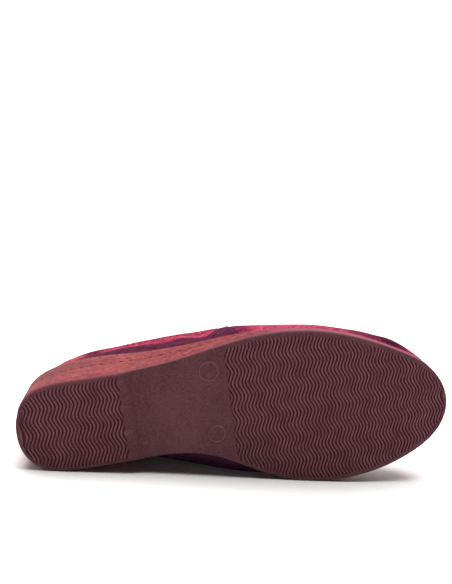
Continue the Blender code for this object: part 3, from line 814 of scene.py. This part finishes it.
# the curves are pushed out along their normals by padding, seams and creases; the lining lies a wall inside
def buildUpper():
    s = upper
    turns = np.arange(s["around"]) * 2 * np.pi / s["around"]
    outline = outlineAt(turns)
    outer = outline["outer"]
    shell = upperCurves(outline, np.minimum(turns, 2 * np.pi - turns) / np.pi)
    x = shell[..., 0]
    girth = runLength(shell)
    toHem = girth[-1] - girth
    normal, climb = gridNormals(shell)
    dent = creaseDepth(x, girth, np.where(outer, -1.0, 1.0)) + slackDepth(x, girth, toHem)
    backGap = np.where(x < s["backSeamTo"], np.abs(shell[..., 1] - groundOutline["shift"][0]), np.inf)
    seams = np.exp(-(np.minimum(np.abs(x - s["sideSeam"]), backGap) / s["seamHalf"]) ** 2)
    hemLine = np.exp(-((toHem - s["hemWide"]) / s["hemLineHalf"]) ** 2)
    swell = s["hemSwell"] * (1 - smooth(toHem, *(s["hemWide"] + np.array(s["hemBlend"]))))
    settle = smooth(girth, *s["settle"])
    puff = np.where(outer, byStation(outerPuff, "out", x), 0.0)
    puff = puff * smooth(girth, *s["puffFrom"]) * (1 - smooth(girth, *s["puffTo"]))
    push = (puff - dent - s["seamDepth"] * seams - s["hemLine"] * hemLine) * settle + swell
    outside = shell + normal * push[..., None]
    sunk = dent - np.minimum(puff, 0)
    inside = shell - normal * (s["wall"] + sunk * settle + s["liningSwell"] * swell)[..., None]
    thick = outside[-1] - inside[-1]
    half = np.linalg.norm(thick, axis=-1)[:, None] / 2
    theta = np.linspace(0, np.pi, s["hemSteps"])[1:-1, None, None]
    hem = (outside[-1] + inside[-1]) / 2 + np.cos(theta) * thick / 2 + np.sin(theta) * half * climb[-1]
    points = np.concatenate([outside, hem, inside[::-1]])

    # nothing of the inner side goes under the floor the shoe lies on
    level = place(points.reshape(-1, 3))[:, 2].reshape(points.shape[:2])
    points = points + np.clip(s["floorGap"] * mm - level, 0, None)[..., None] / mm * shoeAxes[:, 2]

    # plaid: bands across the foot, bands along the vamp, and one along the sole behind the side seam
    vamp = x > s["sideSeam"]
    acrossIn = insideBands(s["plumAcross"], x)
    acrossIn = np.where(vamp, np.minimum(acrossIn, girth - s["vampFoot"]), acrossIn)
    plumTop = np.interp(x, plumEdge["station"], plumEdge["up"])
    alongIn = np.where(vamp, insideBands(s["plumVamp"], shell[..., 1]), plumTop - girth)
    lined = len(hem) + s["rows"]
    values = {key: np.concatenate([amount, np.repeat(amount[-1:], lined, 0)])
              for key, amount in (("plumAcross", acrossIn), ("plumAlong", alongIn))}
    faces = gridFaces(*points.shape[:2], wrapCols=True, wrapRows=True)
    second = np.repeat(np.arange(len(points)), s["around"]) >= s["rows"] + len(hem)
    materials = [plaidVelour(), brushedFleece("fleece_lining", "A8465C", "8A3048")]
    piece = addPiece("upper_shell", points, faces, materials, s["sharp"], values, second)
    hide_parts("upper")
    addStitching(outside, normal, toHem)


# Insole: a crowned pad in brushed cloth that fills the wedge's top
insole = {
    "inset": 3.6, "thick": 3.5, "edgeThick": 2.3, "sideShare": 0.5, "brimIn": 0.7,
    "around": 240, "topSteps": 14, "sharp": 60,
}


# the brim is drawn in to the middle line while it rises, steeply at first, by a fourth power
def buildInsole():
    s = insole
    outline = outlineAt(np.arange(s["around"]) * 2 * np.pi / s["around"])
    edge = bySide(wedgeShape, outline) - s["inset"]
    low = wedgeTop(outline) + last["gap"]
    side = [ringAt(outline, edge, low), ringAt(outline, edge, low + s["sideShare"] * s["edgeThick"])]
    brim = ringAt(outline, edge - s["brimIn"], low + s["edgeThick"])
    middle = (brim + np.roll(brim[::-1], 1, 0)) / 2
    t = np.linspace(0, 1, s["topSteps"])[:, None, None]
    top = brim + (middle - brim) * t
    top[..., 2] += (s["thick"] - s["edgeThick"]) * (1 - (1 - t[..., 0]) ** 4)
    rings = np.concatenate([side, top])
    faces = np.concatenate([gridFaces(*rings.shape[:2], wrapCols=True), acrossFaces(s["around"], 0)])
    cloth = brushedFleece("brushed_insole_cloth", "7E2C44", "5C1C34")
    piece = addPiece("insole_pad", rings, faces, [cloth], s["sharp"])
    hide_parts("insole")


buildOutsole()
buildWedge()
buildUpper()
buildInsole()


# Studio: a plain white table, a wide soft light above and a bright panel behind; the camera is in shoe axes
studio = {
    "cameraAt": (58.545, -137.319, -495.523), "right": (0.99045, 0.04376, -0.13074),
    "down": (-0.06073, 0.98981, -0.12878), "lens": 55.479, "sensor": 36.0, "clip": (0.01, 20.0),
    "tableHalf": 8.0, "skyStrength": 0.06, "topPower": 5.5, "topSpread": 55.0, "topTilt": (-11.0, 2.0),
    "panelAt": 1.3, "panelHalf": 2.4, "panelHigh": 1.6, "panelStrength": 1.1,
}


def stagePlane(name, corners, material):
    mesh = bpy.data.meshes.new(name)
    mesh.from_pydata(corners, [], [(0, 1, 2, 3)])
    mesh.materials.append(material)
    plane = bpy.data.objects.new(name, mesh)
    bpy.context.scene.collection.objects.link(plane)


def addCamera(scene):
    s = studio
    right = unit(np.array(s["right"]) @ shoeAxes)
    forward = unit(np.cross(right, np.array(s["down"]) @ shoeAxes))
    matrix = np.eye(4)
    matrix[:3, :3] = np.stack([right, np.cross(right, forward), -forward], -1)
    matrix[:3, 3] = place(np.array(s["cameraAt"]))
    lens = bpy.data.cameras.new("camera")
    lens.lens, lens.sensor_width = s["lens"], s["sensor"]
    lens.clip_start, lens.clip_end = s["clip"]
    camera = bpy.data.objects.new("camera", lens)
    camera.matrix_world = Matrix(matrix.tolist())
    scene.collection.objects.link(camera)
    scene.camera = camera


# white card on the table, with a faint tooth
def whiteCard():
    material, tree, shader = newMaterial("white_card")
    onPiece = {"Vector": node(tree, "ShaderNodeTexCoord").outputs["Object"]}
    tooth = node(tree, "ShaderNodeTexNoise", {"Scale": 1 / (3 * mm), "Detail": 3.0}, onPiece)
    tint = node(tree, "ShaderNodeMix", {"data_type": "RGBA", 6: linear("F1EFEC"), 7: linear("F5F3F1")},
                {0: tooth.outputs[0]})
    setUp(tree, shader, {"Roughness": 0.7}, {"Base Color": tint.outputs[2]})
    return material


def buildStudio():
    s = studio
    scene = bpy.context.scene
    white = linear("FFFFFF")
    addCamera(scene)
    half, wide, far, high = s["tableHalf"], s["panelHalf"], s["panelAt"], s["panelHigh"]
    stagePlane("table", [(-half, -half, 0), (half, -half, 0), (half, half, 0), (-half, half, 0)], whiteCard())
    glow, tree, shader = newMaterial("light_panel")
    setUp(tree, shader,
          {"Base Color": white, "Emission Color": white, "Emission Strength": s["panelStrength"]})
    stagePlane("backdrop", [(-wide, far, 0), (wide, far, 0), (wide, far, high), (-wide, far, high)], glow)

    overhead = bpy.data.lights.new("overhead", "SUN")
    overhead.angle = np.radians(s["topSpread"])
    overhead.energy = s["topPower"]
    lamp = bpy.data.objects.new("overhead", overhead)
    lamp.rotation_euler = (*np.radians(s["topTilt"]), 0.0)
    scene.collection.objects.link(lamp)

    # the air is dim for the light on the shoe, and white where the camera sees it
    sky = bpy.data.worlds.new("studio_air")
    sky.use_nodes = True
    tree = sky.node_tree
    air = setUp(tree, tree.nodes["Background"], {"Color": white, "Strength": s["skyStrength"]})
    seen = node(tree, "ShaderNodeBackground", {"Color": white, "Strength": 1.0})
    path = node(tree, "ShaderNodeLightPath")
    mixed = node(tree, "ShaderNodeMixShader", None,
                 {0: path.outputs["Is Camera Ray"], 1: air.outputs[0], 2: seen.outputs[0]})
    tree.links.new(mixed.outputs[0], tree.nodes["World Output"].inputs["Surface"])
    scene.world = sky
    scene.view_settings.view_transform = "Standard"
    print("studio ready")


buildStudio()
